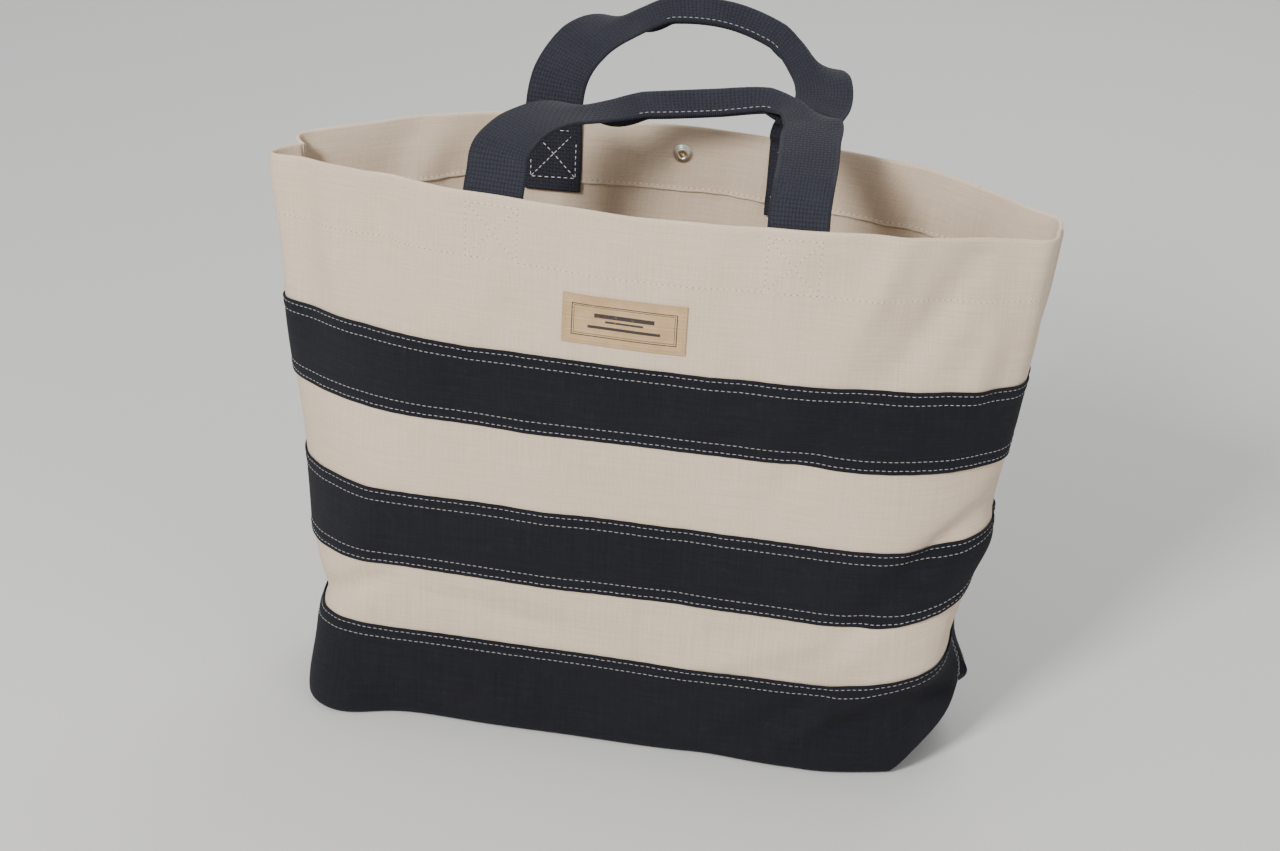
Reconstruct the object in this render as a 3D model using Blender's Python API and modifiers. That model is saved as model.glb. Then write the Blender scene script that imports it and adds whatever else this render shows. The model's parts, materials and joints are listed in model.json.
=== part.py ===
"""Canvas tote bag with two navy bands, a navy boot, webbing handles and a snap.

The bag stands on the plane z = 0 with its origin at the middle of its flat underside.
X runs along the width, the front face looks towards -Y. Lengths are in metres.
Every cloth piece is a layer of one wall surface, laid at its own depth below the outside.
"""

from math import cos, pi, sin

import bmesh
import bpy
from mathutils import Vector

# Overall shape
HEIGHT = 0.386            # floor to the rim in the middle of the mouth
MOUTH_WIDTH = 0.508       # side seam to side seam at the rim
MOUTH_DEPTH = 0.144       # front to back at the rim
BASE_LENGTH = 0.410       # outline of the boot on the floor
BASE_DEPTH = 0.132
BELLY = 0.006             # how far the faces swell half way up
FLAT_HALF = 0.125         # half length of the straight middle of each face
CORNER_DIP = 0.009        # how much lower the rim is at the side seams
BASE_ROUNDNESS = 5.0      # exponent of the outline: boxed on the floor
MOUTH_ROUNDNESS = 1.5     # and nearly pointed at the rim

# Cloth
PLY = 0.0012              # one layer of canvas
GAP = 0.0003              # between touching layers
SNAP_SPACE = 0.0018       # room between panel and turned hem, for the post rings
HEM_HEIGHT = 0.044
BOOT_HEIGHT = 0.069
LOWER_BAND = (0.117, 0.173)
UPPER_BAND = (0.229, 0.284)
PATCH_WIDTH = 0.079
PATCH_HEIGHT = 0.034
PATCH_PLY = 0.0009
PATCH_X = -0.0075         # the patch sits a little off the middle
PATCH_TOP = 0.331

# Handles
WEB_WIDTH = 0.038
WEB_PLY = 0.0023
FRONT_ENDS = (-0.0945, 0.0945)    # middle of each handle end along the mouth
BACK_ENDS = (-0.086, 0.077)
END_HEIGHT = 0.050        # sewn length below the rim
FOOT_HEIGHT = 0.010       # unsewn webbing that stands over the rim, up to the fold
GRIP_WIDTH = 0.020        # the webbing folded in half along its length
GRIP_THICKNESS = 0.0054
KNUCKLE_STEPS = 4         # facets from the side of a loop's foot to its round end
CREST_DROP = 0.00148      # fold axis to the crest of a sewn end
SHOULDER_DROP = 0.0021    # fold axis to where the crest starts
CREST_PLY = 0.0003

# Snap, line 24
SNAP_DROP = 0.018         # rim to snap centre
SOCKET_RADIUS = 0.0064
SOCKET_HEIGHT = 0.0036
STUD_RADIUS = 0.0058
NOSE_RADIUS = 0.0021
NOSE_HEIGHT = 0.0040
BARREL_RADIUS = 0.0024
BARREL_BORE = 0.0015
BARREL_CLEARANCE = 0.0004
RING_RADIUS = 0.0055
RING_THICKNESS = 0.0010

FLAT_STEPS = 8            # facets along a straight face
END_STEPS = 8             # facets from a straight face to the side seam
LEVEL_STEP = 0.022        # tallest facet of a wall
TURN_STEPS = 32
ROUTE_STEPS = 44          # facets along a handle
CUTTER_LENGTH = 0.012

COLOURS = {
    "natural_canvas": ((0.66, 0.56, 0.43, 1), 0.9, 0.0),
    "navy_canvas": ((0.012, 0.014, 0.027, 1), 0.85, 0.0),
    "navy_webbing": ((0.020, 0.022, 0.036, 1), 0.8, 0.0),
    "patch_cloth": ((0.52, 0.37, 0.20, 1), 0.7, 0.0),
    "nickel": ((0.62, 0.60, 0.56, 1), 0.25, 1.0),
}

PANEL_DEPTH = PLY + GAP
HEM_DEPTH = PANEL_DEPTH + PLY + SNAP_SPACE
WEB_DEPTH = HEM_DEPTH + PLY + GAP
PATCH_DEPTH = PANEL_DEPTH - GAP - PATCH_PLY


def clear_scene():
    for item in list(bpy.data.objects):
        bpy.data.objects.remove(item, do_unlink=True)


def collection(name):
    group = bpy.data.collections.new(name)
    bpy.context.scene.collection.children.link(group)
    return group


def material(kind):
    colour, roughness, metallic = COLOURS[kind]
    found = bpy.data.materials.get(kind) or bpy.data.materials.new(kind)
    found.use_nodes = True
    shader = found.node_tree.nodes["Principled BSDF"]
    shader.inputs["Base Color"].default_value = colour
    shader.inputs["Roughness"].default_value = roughness
    shader.inputs["Metallic"].default_value = metallic
    return found


def add_object(name, bm, kind, group):
    mesh = bpy.data.meshes.new(name)
    bm.to_mesh(mesh)
    bm.free()
    item = bpy.data.objects.new(name, mesh)
    item.data.materials.append(material(kind))
    group.objects.link(item)
    return item


def section(z):
    """Half length, half depth and outline exponent of the bag at a height."""
    share = z / HEIGHT
    half_length = (BASE_LENGTH + (MOUTH_WIDTH - BASE_LENGTH) * share ** 0.8) / 2
    half_depth = (BASE_DEPTH + (MOUTH_DEPTH - BASE_DEPTH) * share) / 2 + BELLY * sin(pi * share)
    exponent = MOUTH_ROUNDNESS + (BASE_ROUNDNESS - MOUTH_ROUNDNESS) * max(1 - share, 0) ** 2.5
    return half_length, half_depth, exponent


def wall_point(turn, z, depth):
    """Point on the wall, a depth below its outside.

    A turn of 0 to 1 is the straight front from -X to +X, 1 to 2 the right end, 2 to 3 the
    back and 3 to 4 the left end. The side seams are at 1.5 and 3.5 (or -0.5).
    """
    half_length, half_depth, exponent = section(min(max(z, 0), HEIGHT))
    side, along = divmod(turn % 4, 1)
    if side in (0, 2):
        face = -1 if side == 0 else 1
        return Vector((face * FLAT_HALF * (1 - 2 * along), face * (half_depth - depth), z))
    end = 1 if side == 1 else -1
    reach = half_length - FLAT_HALF
    over, across = cos((along - 0.5) * pi), sin((along - 0.5) * pi)
    sign = 1 if across > 0 else -1
    x = reach * abs(over) ** (2 / exponent)
    y = sign * half_depth * abs(across) ** (2 / exponent)
    normal = Vector((abs(over) ** (2 - 2 / exponent) / reach,
                     sign * abs(across) ** (2 - 2 / exponent) / half_depth)).normalized()
    dip = CORNER_DIP * over ** 2 * (z / HEIGHT) ** 2
    x, y = x - normal.x * depth, y - normal.y * depth
    return Vector((end * (FLAT_HALF + x), end * y, z - dip))


def front_turn(x):
    """Turn of a place on the straight front."""
    return (x + FLAT_HALF) / (2 * FLAT_HALF)


def back_turn(x):
    """Turn of a place on the straight back."""
    return 2 + (FLAT_HALF - x) / (2 * FLAT_HALF)


def turns(start, stop):
    """Facet places from start to stop, shared by every layer."""
    marks = [side + step / FLAT_STEPS for side in (0, 2) for step in range(FLAT_STEPS)]
    marks += [side + step / (2 * END_STEPS) for side in (-1, 1, 3) for step in range(2 * END_STEPS)]
    inner = [mark for mark in sorted(marks) if start + 1e-6 < mark < stop - 1e-6]
    return [start, *inner, stop]


def levels(bottom, top):
    """Facet heights from bottom to top, shared by every layer."""
    edges = [0, BOOT_HEIGHT, *LOWER_BAND, *UPPER_BAND, HEIGHT - HEM_HEIGHT, HEIGHT]
    marks = []
    for low, high in zip(edges, edges[1:]):
        count = max(1, round((high - low) / LEVEL_STEP))
        marks += [low + (high - low) * step / count for step in range(count)]
    return [bottom, *[mark for mark in marks if bottom + 1e-4 < mark < top - 1e-4], top]


def skin(bm, places, heights, depth, half, pinch=0):
    """One face of a cloth layer: a grid of points, kept on its own side of the side seams."""
    grid = []
    for z in heights:
        inset = depth + (pinch if z == heights[-1] else 0)
        row = [wall_point(turn, z, inset) for turn in places]
        if half:
            for point in row:
                point.y = half * max(half * point.y, GAP / 2)
        grid.append([bm.verts.new(point) for point in row])
    for low, high in zip(grid, grid[1:]):
        for one in range(len(places) - 1):
            bm.faces.new((low[one], low[one + 1], high[one + 1], high[one]))
    return grid


def border(grid, ring, floor):
    """The open edges of a skin as closed loops of points, in the same order on every skin."""
    if ring:
        return [grid[-1][:-1]] if floor else [grid[-1][:-1], grid[0][:-1]]
    right = [row[-1] for row in grid[1:-1]]
    left = [row[0] for row in grid[-2:0:-1]]
    bottom = [grid[0][0], grid[0][-1]] if floor else grid[0]
    return [[*bottom, *right, *reversed(grid[-1]), *left]]


def layer(name, kind, group, start, stop, bottom, top, depth, ply, floor=False, half=0,
          crest=None):
    """A closed cloth layer between two turns and two heights, with or without a floor.

    A crest is a height over the top where the layer narrows to CREST_PLY.
    """
    bm = bmesh.new()
    places = turns(start, stop)
    ring = stop - start == 4
    above = [crest] if crest else []
    pinch = (ply - CREST_PLY) / 2 if crest else 0
    outer = skin(bm, places, levels(bottom, top) + above, depth, half, pinch)
    inner = skin(bm, places, levels(bottom + ply if floor else bottom, top) + above,
                 depth + ply, half, -pinch)
    for loop, other in zip(border(outer, ring, floor), border(inner, ring, floor)):
        for one in range(len(loop)):
            bm.faces.new((loop[one - 1], loop[one], other[one], other[one - 1]))
    if floor:
        bm.faces.new(outer[0][:-1] if ring else outer[0])
        bm.faces.new(inner[0][:-1] if ring else inner[0])
    bmesh.ops.remove_doubles(bm, verts=bm.verts, dist=1e-6)
    bmesh.ops.recalc_face_normals(bm, faces=bm.faces)
    return add_object(name, bm, kind, group)


def make_bag(group):
    half_fronts = (("front", -0.5, 1.5, -1), ("back", 1.5, 3.5, 1))
    layer("boot", "navy_canvas", group, 0, 4, 0, BOOT_HEIGHT, 0, PLY, floor=True)
    for face, start, stop, half in half_fronts:
        layer(face + "_panel", "natural_canvas", group, start, stop, PANEL_DEPTH, HEIGHT,
              PANEL_DEPTH, PLY, floor=True, half=half)
        layer(face + "_hem", "natural_canvas", group, start, stop, HEIGHT - HEM_HEIGHT,
              HEIGHT - GAP, HEM_DEPTH, PLY, half=half)
        for label, (low, high) in (("lower", LOWER_BAND), ("upper", UPPER_BAND)):
            layer(f"{face}_{label}_band", "navy_canvas", group, start, stop, low, high,
                  0, PLY, half=half)
    layer("cloth_patch", "patch_cloth", group, front_turn(PATCH_X - PATCH_WIDTH / 2),
          front_turn(PATCH_X + PATCH_WIDTH / 2), PATCH_TOP - PATCH_HEIGHT, PATCH_TOP,
          PATCH_DEPTH, PATCH_PLY)


def turned(name, kind, group, profile, place, facing):
    """A ring turned from a closed outline of (radius, height), standing on a hem."""
    bm = bmesh.new()
    verts = [bm.verts.new((radius, 0, height)) for radius, height in profile]
    for one, other in zip(verts, verts[1:] + verts[:1]):
        bm.edges.new((one, other))
    item = add_object(name, bm, kind, group)
    item.location = place
    item.rotation_euler = (-facing * pi / 2, 0, 0)
    screw = item.modifiers.new("turn", "SCREW")
    screw.steps = TURN_STEPS
    screw.render_steps = TURN_STEPS
    screw.use_merge_vertices = True
    screw.merge_threshold = 1e-5
    return item


def drill(item, place, radius, cutters):
    """A round hole along Y through a piece."""
    bm = bmesh.new()
    bmesh.ops.create_cone(bm, cap_ends=True, segments=TURN_STEPS, radius1=radius,
                          radius2=radius, depth=CUTTER_LENGTH)
    cutter = add_object(item.name + "_cutter", bm, "nickel", cutters)
    cutter.location = place
    cutter.rotation_euler = (pi / 2, 0, 0)
    cutter.hide_render = True
    cutter.display_type = "WIRE"
    cut = item.modifiers.new("post hole", "BOOLEAN")
    cut.operation = "DIFFERENCE"
    cut.solver = "EXACT"
    cut.object = cutter


def make_snap(group, cutters):
    """Socket on the back hem, stud on the front one, each clenched by a post ring.

    Each outline is a closed run of (radius, height), height 0 being the seat on the hem.
    """
    z = HEIGHT - SNAP_DROP
    half_depth = section(z)[1]
    hole = BARREL_RADIUS + BARREL_CLEARANCE
    socket = [(hole, 0), (hole, 0.3 * SOCKET_HEIGHT), (NOSE_RADIUS + GAP, 0.45 * SOCKET_HEIGHT),
              (NOSE_RADIUS + GAP, SOCKET_HEIGHT), (0.6 * SOCKET_RADIUS, SOCKET_HEIGHT),
              (0.72 * SOCKET_RADIUS, 0.6 * SOCKET_HEIGHT), (0.9 * SOCKET_RADIUS, 0.6 * SOCKET_HEIGHT),
              (SOCKET_RADIUS, 0.4 * SOCKET_HEIGHT), (SOCKET_RADIUS, 0)]
    stud = [(hole, 0), (hole, 0.0008), (BARREL_BORE, 0.0012), (BARREL_BORE, NOSE_HEIGHT),
            (0.85 * NOSE_RADIUS, NOSE_HEIGHT), (NOSE_RADIUS, 0.85 * NOSE_HEIGHT),
            (0.85 * NOSE_RADIUS, 0.5 * NOSE_HEIGHT), (hole + 0.0006, 0.0014),
            (0.9 * STUD_RADIUS, 0.0011), (STUD_RADIUS, 0.0006), (STUD_RADIUS, 0)]
    barrel = SNAP_SPACE - 2 * GAP + PLY + GAP
    ring = [(BARREL_BORE, 0), (BARREL_BORE, barrel), (BARREL_RADIUS, barrel),
            (BARREL_RADIUS, RING_THICKNESS), (RING_RADIUS, RING_THICKNESS), (RING_RADIUS, 0)]
    for face, facing, fitting, outline in (("front", 1, "stud", stud), ("back", -1, "socket", socket)):
        seat = Vector((0, -facing * (half_depth - HEM_DEPTH - PLY - GAP), z))
        pocket = Vector((0, -facing * (half_depth - PANEL_DEPTH - PLY - GAP), z))
        turned("snap_" + fitting, "nickel", group, outline, seat, facing)
        turned("snap_" + fitting + "_ring", "nickel", group, ring, pocket, facing)
        drill(bpy.data.objects[face + "_hem"], seat, hole, cutters)


def make_handle_ends(group):
    """The webbing sewn inside the hem, standing a little over the rim as far as its fold."""
    for face, place, ends in (("front", front_turn, FRONT_ENDS), ("back", back_turn, BACK_ENDS)):
        for side, x in zip(("left", "right"), ends):
            edge = sorted((place(x - WEB_WIDTH / 2), place(x + WEB_WIDTH / 2)))
            layer(f"{face}_handle_{side}_end", "navy_webbing", group, *edge,
                  HEIGHT - END_HEIGHT, HEIGHT + FOOT_HEIGHT - SHOULDER_DROP, WEB_DEPTH,
                  WEB_PLY, crest=HEIGHT + FOOT_HEIGHT - CREST_DROP)


def spline(points, share):
    """Place on a smooth curve through the points, share running 0 to 1."""
    count = len(points) - 1
    index = min(int(share * count), count - 1)
    t = share * count - index
    p0 = Vector(points[max(index - 1, 0)])
    p1, p2 = Vector(points[index]), Vector(points[index + 1])
    p3 = Vector(points[min(index + 2, count)])
    return 0.5 * (2 * p1 + (p2 - p0) * t + (2 * p0 - 5 * p1 + 4 * p2 - p3) * t * t
                  + (3 * p1 - p0 - 3 * p2 + p3) * t ** 3)


# Route of each handle over the rim. Each stop is its place, from the middle of the two
# folds, the direction across the webbing, and 1 where it is a folded grip.
FRONT_ROUTE = [
    ((FRONT_ENDS[0], 0, 0), (1.00, 0.00, 0.00), 0),
    ((-0.094, 0.006, 0.012), (1.00, -0.03, 0.00), 0),
    ((-0.087, 0.022, 0.022), (0.95, -0.25, -0.05), 0),
    ((-0.073, 0.041, 0.027), (0.80, -0.55, -0.10), 0),
    ((-0.050, 0.064, 0.027), (0.50, -0.80, -0.25), 0.2),
    ((-0.018, 0.087, 0.024), (0.15, -0.75, -0.60), 1),
    ((0.024, 0.101, 0.026), (0.00, -0.70, -0.70), 1),
    ((0.058, 0.105, 0.030), (-0.15, -0.75, -0.55), 1),
    ((0.078, 0.097, 0.032), (-0.70, -0.65, -0.25), 0.4),
    ((0.090, 0.078, 0.029), (-0.97, -0.20, -0.05), 0),
    ((0.092, 0.054, 0.025), (-1.00, 0.00, 0.00), 0),
    ((0.094, 0.029, 0.018), (-1.00, 0.00, 0.00), 0),
    ((0.0945, 0.009, 0.009), (-1.00, 0.00, 0.00), 0),
    ((FRONT_ENDS[1], 0, 0), (-1.00, 0.00, 0.00), 0),
]
BACK_ROUTE = [
    ((BACK_ENDS[0], 0, 0), (1.00, 0.00, 0.00), 0),
    ((-0.084, 0.007, 0.022), (1.00, -0.03, 0.05), 0),
    ((-0.073, 0.024, 0.041), (0.93, -0.25, -0.20), 0),
    ((-0.051, 0.045, 0.052), (0.70, -0.55, -0.35), 0.2),
    ((-0.022, 0.064, 0.056), (0.20, -0.70, -0.65), 1),
    ((0.020, 0.075, 0.053), (-0.05, -0.65, -0.75), 1),
    ((0.050, 0.071, 0.044), (-0.25, -0.65, -0.70), 1),
    ((0.072, 0.059, 0.034), (-0.65, -0.60, -0.45), 0.4),
    ((0.086, 0.042, 0.024), (-0.93, -0.30, -0.20), 0),
    ((0.088, 0.026, 0.016), (-1.00, -0.05, -0.05), 0),
    ((0.083, 0.010, 0.010), (-1.00, 0.00, 0.00), 0),
    ((BACK_ENDS[1], 0, 0), (-1.00, 0.00, 0.00), 0),
]


def make_loop(name, route, facing, group):
    """A handle above its fold: the webbing's section swept along its route, with each foot
    rounded about the fold axis."""
    seat = section(HEIGHT)[1] - WEB_DEPTH - WEB_PLY / 2
    axis = Vector((0, -facing * seat, HEIGHT + FOOT_HEIGHT))
    knuckle = [(sin(pi / 2 * one / (KNUCKLE_STEPS + 1)), cos(pi / 2 * one / (KNUCKLE_STEPS + 1)))
               for one in range(1, KNUCKLE_STEPS + 1)]
    bm = bmesh.new()
    rings = []
    for step in range(ROUTE_STEPS + 1):
        share = step / ROUTE_STEPS
        centre = spline([stop[0] for stop in route], share)
        ahead = spline([stop[0] for stop in route], min(share + 0.01, 1))
        behind = spline([stop[0] for stop in route], max(share - 0.01, 0))
        along = (ahead - behind).normalized()
        if step in (0, ROUTE_STEPS):
            along = Vector((0, 0, 1 if step == 0 else -1))
        across = spline([stop[1] for stop in route], share).normalized()
        face = across.cross(along).normalized()
        fold = spline([(stop[2], 0, 0) for stop in route], share).x
        fold = min(max(fold, 0), 1)
        wide = (WEB_WIDTH + (GRIP_WIDTH - WEB_WIDTH) * fold) / 2
        thick = (WEB_PLY + (GRIP_THICKNESS - WEB_PLY) * fold) / 2
        round_end = [(0, 1)]
        if step == 0:
            round_end = knuckle[::-1] + round_end
        if step == ROUTE_STEPS:
            round_end = round_end + knuckle
        for drop, share_thick in round_end:
            middle = centre - Vector((0, 0, drop * thick))
            corners = [middle + across * wide * i + face * thick * share_thick * j
                       for i, j in ((-1, -1), (1, -1), (1, 1), (-1, 1))]
            rings.append([bm.verts.new(corner) for corner in corners])
    for one, other in zip(rings, rings[1:]):
        for corner in range(4):
            after = (corner + 1) % 4
            bm.faces.new((one[corner], one[after], other[after], other[corner]))
    bm.faces.new(rings[0])
    bm.faces.new(rings[-1])
    bmesh.ops.recalc_face_normals(bm, faces=bm.faces)
    item = add_object(name, bm, "navy_webbing", group)
    item.location = axis
    return item


def main():
    clear_scene()
    bag = collection("canvas_tote_bag")
    cutters = collection("cutters")
    make_bag(bag)
    make_snap(bag, cutters)
    make_handle_ends(bag)
    make_loop("front_handle_loop", FRONT_ROUTE, 1, bag)
    make_loop("back_handle_loop", BACK_ROUTE, -1, bag)


main()
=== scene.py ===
"""Canvas tote bag with navy bands, webbing handles and a snap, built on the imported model.

Lengths are in metres. X runs along the width, the front faces -Y and the bag stands on z = 0.
"""
import json
from math import cos, pi, radians, sin

import bmesh
import bpy
import numpy as np
from mathutils import Matrix, Vector


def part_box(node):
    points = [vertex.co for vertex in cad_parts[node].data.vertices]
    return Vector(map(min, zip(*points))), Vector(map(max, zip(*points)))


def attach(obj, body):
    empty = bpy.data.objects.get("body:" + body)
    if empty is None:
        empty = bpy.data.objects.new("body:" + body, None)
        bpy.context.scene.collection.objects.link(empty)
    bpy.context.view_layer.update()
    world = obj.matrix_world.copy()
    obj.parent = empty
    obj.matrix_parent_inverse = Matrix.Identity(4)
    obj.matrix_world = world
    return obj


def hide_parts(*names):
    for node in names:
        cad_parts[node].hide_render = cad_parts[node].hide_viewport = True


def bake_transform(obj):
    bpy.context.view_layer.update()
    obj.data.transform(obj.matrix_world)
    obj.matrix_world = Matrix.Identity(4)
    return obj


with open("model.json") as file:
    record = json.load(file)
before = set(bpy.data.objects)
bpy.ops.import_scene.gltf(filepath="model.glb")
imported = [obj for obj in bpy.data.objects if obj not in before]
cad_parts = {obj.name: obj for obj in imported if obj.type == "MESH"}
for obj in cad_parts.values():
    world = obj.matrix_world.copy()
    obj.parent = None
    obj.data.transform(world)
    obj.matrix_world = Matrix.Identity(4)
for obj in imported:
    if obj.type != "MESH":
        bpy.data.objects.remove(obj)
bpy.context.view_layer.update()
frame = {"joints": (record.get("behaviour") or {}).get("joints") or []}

# Shape of the bag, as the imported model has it
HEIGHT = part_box("front_panel")[1].z
BOOT_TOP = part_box("boot")[1].z
BAND_TOPS = [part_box(f"front_{level}_band")[1].z for level in ("lower", "upper")]
MOUTH_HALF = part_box("front_upper_band")[1].x + 0.0106
BASE_HALF = 0.205
DEPTHS = (0.066, 0.072)          # half depth on the floor and at the rim
BELLY = 0.006
FLAT_HALF = 0.125
CORNER_DIP = 0.009
ROUNDNESS = (5.0, 1.5)
BAND_HEIGHTS = (0.056, 0.055)
HEM_HEIGHT = 0.044
HEM_ROW = 0.0415                 # rim to the hem's stitching
BOTTOM_RADIUS = 0.007            # soft edge round the floor
FLOOR_SPAN = 0.06

# Depths of the layers' middles below the outside
PLY = 0.0012
PANEL_DEPTH = 0.0015
HEM_DEPTH = 0.0031
BAND_PLY = 0.0010
BAND_DEPTH = 0.0002
WEB_WIDTH = 0.038
WEB_PLY = 0.0022
WEB_DEPTH = HEM_DEPTH + PLY / 2 + WEB_PLY / 2 + 0.0002

STITCH = 0.0030
STITCH_PITCH = 0.0038
THREAD = 0.00055

CAMERA_TURN, CAMERA_RISE, CAMERA_ROLL = radians(8.94), radians(25.21), radians(-3.47)
CAMERA_AIM = Vector((-0.0058, 0, 0.2072))
CAMERA_DISTANCE = 1.768
CAMERA_LENS = 75


def make_camera():
    ahead = Vector((-sin(CAMERA_TURN) * cos(CAMERA_RISE), cos(CAMERA_TURN) * cos(CAMERA_RISE),
                    -sin(CAMERA_RISE)))
    level = Vector((cos(CAMERA_TURN), sin(CAMERA_TURN), 0))
    over = level.cross(ahead)
    right = level * cos(CAMERA_ROLL) - over * sin(CAMERA_ROLL)
    up = level * sin(CAMERA_ROLL) + over * cos(CAMERA_ROLL)
    camera = bpy.data.objects.new("camera", bpy.data.cameras.new("camera"))
    bpy.context.scene.collection.objects.link(camera)
    camera.data.lens = CAMERA_LENS
    camera.data.sensor_width = 36
    turn = Matrix((right, up, -ahead)).transposed()
    camera.matrix_world = Matrix.LocRotScale(CAMERA_AIM - ahead * CAMERA_DISTANCE, turn, None)
    bpy.context.scene.camera = camera


# ---------------------------------------------------------------- finishes

class Value:
    """A number in a material; arithmetic on it adds Math nodes."""

    def __init__(self, finish, socket):
        self.finish = finish
        self.socket = socket

    def math(self, operation, *numbers):
        return self.finish.node("ShaderNodeMath", {"operation": operation},
                                dict(enumerate(numbers)))

    def __add__(self, other):
        return self.math("ADD", self, other)

    __radd__ = __add__

    def __sub__(self, other):
        return self.math("SUBTRACT", self, other)

    def __rsub__(self, other):
        return self.math("SUBTRACT", other, self)

    def __mul__(self, other):
        return self.math("MULTIPLY", self, other)

    __rmul__ = __mul__

    def __abs__(self):
        return self.math("ABSOLUTE", self)

    def sine(self):
        return self.math("SINE", self)

    def power(self, exponent):
        return self.math("POWER", self, exponent)

    def most(self, other):
        return self.math("MAXIMUM", self, other)

    def step(self, low, high):
        """0 below low, 1 above high and smooth between them."""
        return self.finish.node("ShaderNodeMapRange", {"interpolation_type": "SMOOTHSTEP"},
                                {0: self, 1: low, 2: high, 3: 0, 4: 1})


class Finish:
    """A material under construction, with one Principled shader."""

    def __init__(self, name, plain):
        self.material = bpy.data.materials.new(name)
        self.material.use_nodes = True
        self.tree = self.material.node_tree
        self.shader = self.tree.nodes["Principled BSDF"]
        for key, number in plain.items():
            self.shader.inputs[key].default_value = number

    def fill(self, socket, value):
        if isinstance(value, Value):
            self.tree.links.new(value.socket, socket)
        else:
            socket.default_value = value

    def node(self, kind, settings=(), values=(), out=0):
        """One node: its settings first, then its sockets; gives back one output."""
        made = self.tree.nodes.new(kind)
        for key, setting in dict(settings).items():
            if key == "stops":
                for index, (position, colour) in enumerate(setting):
                    if index >= len(made.color_ramp.elements):
                        made.color_ramp.elements.new(position)
                    made.color_ramp.elements[index].position = position
                    made.color_ramp.elements[index].color = colour
            else:
                setattr(made, key, setting)
        for key, value in dict(values).items():
            self.fill(made.inputs[key], value)
        return Value(self, made.outputs[out])

    def set(self, name, value):
        self.fill(self.shader.inputs[name], value)

    def place(self):
        """Where a point lies on the cloth: metres across and along."""
        return self.node("ShaderNodeUVMap", {"uv_map": "cloth"})

    def axes(self, place):
        return (self.node("ShaderNodeSeparateXYZ", (), {0: place}, 0),
                self.node("ShaderNodeSeparateXYZ", (), {0: place}, 1))

    def stretched(self, place, across, along):
        return self.node("ShaderNodeVectorMath", {"operation": "MULTIPLY"},
                         {0: place, 1: (across, along, 1)})

    def noise(self, place, scale, detail=2.0, roughness=0.5):
        return self.node("ShaderNodeTexNoise", (), {"Vector": place, "Scale": scale,
                                                    "Detail": detail, "Roughness": roughness})

    def mix(self, share, one, other):
        return self.node("ShaderNodeMix", {"data_type": "RGBA"}, {0: share, 6: one, 7: other}, 2)

    def bump(self, height, distance, strength=1.0, under=None):
        sockets = {"Height": height, "Distance": distance, "Strength": strength}
        if under is not None:
            sockets["Normal"] = under
        return self.node("ShaderNodeBump", (), sockets)


def weave(finish, place, pitch):
    """Height of a plain weave, 0 in its holes to 1 on its threads."""
    across, along = finish.axes(place)
    warp = (across * (pi / pitch)).sine()
    weft = (along * (pi / pitch)).sine()
    over = (warp * weft).step(-0.35, 0.35)
    return abs(warp) * over + abs(weft) * (1 - over)


def canvas(name, plain, shade, fleck, pitch, worn, sheen):
    """Heavy cotton canvas: weave with painted shade in its holes, thicker threads, flecks, soiling
    and faint creases.
    """
    finish = Finish(name, {"Sheen Weight": sheen, "Sheen Roughness": 0.5,
                           "Specular IOR Level": 0.2})
    place = finish.place()
    threads = weave(finish, place, pitch)
    slub_across = finish.noise(finish.stretched(place, 22, 900), 1.0, 3.0)
    slub_along = finish.noise(finish.stretched(place, 1100, 16), 1.0, 3.0)
    slubs = slub_across * 0.55 + slub_along * 0.45
    cloud = finish.noise(place, 9.0, 4.0, 0.6)
    mottle = finish.noise(place, 140.0, 3.0, 0.65)
    specks = finish.noise(finish.stretched(place, 500, 900), 1.0, 1.0)
    colour = finish.mix(cloud.step(0.25, 0.8) * 0.45 + slubs.step(0.38, 0.62) * 0.75, plain, shade)
    # Painted shade: the colour is darkened in the weave's holes between the threads.
    colour = finish.mix((1 - threads) * 0.6, colour, tuple(c * 0.62 for c in shade[:3]) + (1,))
    colour = finish.mix(specks.step(0.735, 0.80) * 0.55, colour, fleck)
    colour = finish.mix(mottle.step(0.5, 0.85) * worn, colour, tuple(min(1, c * 1.25 + 0.012)
                                                                     for c in plain[:3]) + (1,))
    finish.set("Base Color", colour)
    finish.set("Roughness", 0.84 + threads * 0.1)
    creases = finish.noise(finish.stretched(place, 26, 60), 1.0, 5.0, 0.6)
    soft = finish.bump(creases, 0.0016, 0.5)
    finish.set("Normal", finish.bump(threads * 0.7 + slubs * 0.9, 0.00050, 0.9, soft))
    return finish.material


def webbing():
    """Tight cotton webbing: short blocks of threads in staggered rows, with a ribbed edge; painted
    shade in the low places.
    """
    finish = Finish("navy_webbing", {"Roughness": 0.85, "Sheen Weight": 0.04,
                                     "Sheen Roughness": 0.45, "Specular IOR Level": 0.22})
    place = finish.place()
    across, along = finish.axes(place)
    column = (across * (pi / 0.0022)).sine()
    row = (along * (pi / 0.0026)).sine()
    over = (column * row).step(-0.25, 0.25)
    block = abs(column).power(0.6) * over + abs(row).power(0.6) * (1 - over)
    edge = abs(across).step(WEB_WIDTH / 2 - 0.0022, WEB_WIDTH / 2 - 0.0016)
    rib = abs((along * (pi / 0.0013)).sine())
    height = block * (1 - edge) + rib * edge
    strands = finish.noise(finish.stretched(place, 2600, 260), 1.0, 2.0)
    cloud = finish.noise(place, 40.0, 3.0)
    # Painted shade and light: the weave's low places are coloured dark, its raised blocks and ribs
    # lighter.
    colour = finish.mix(height, (0.0050, 0.0050, 0.0085, 1), (0.0210, 0.0215, 0.0310, 1))
    colour = finish.mix(strands.step(0.45, 0.8) * 0.5 + cloud.step(0.4, 0.8) * 0.2, colour,
                        (0.036, 0.037, 0.048, 1))
    finish.set("Base Color", colour)
    finish.set("Normal", finish.bump(height + strands * 0.3, 0.0006, 0.9))
    return finish.material


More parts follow.
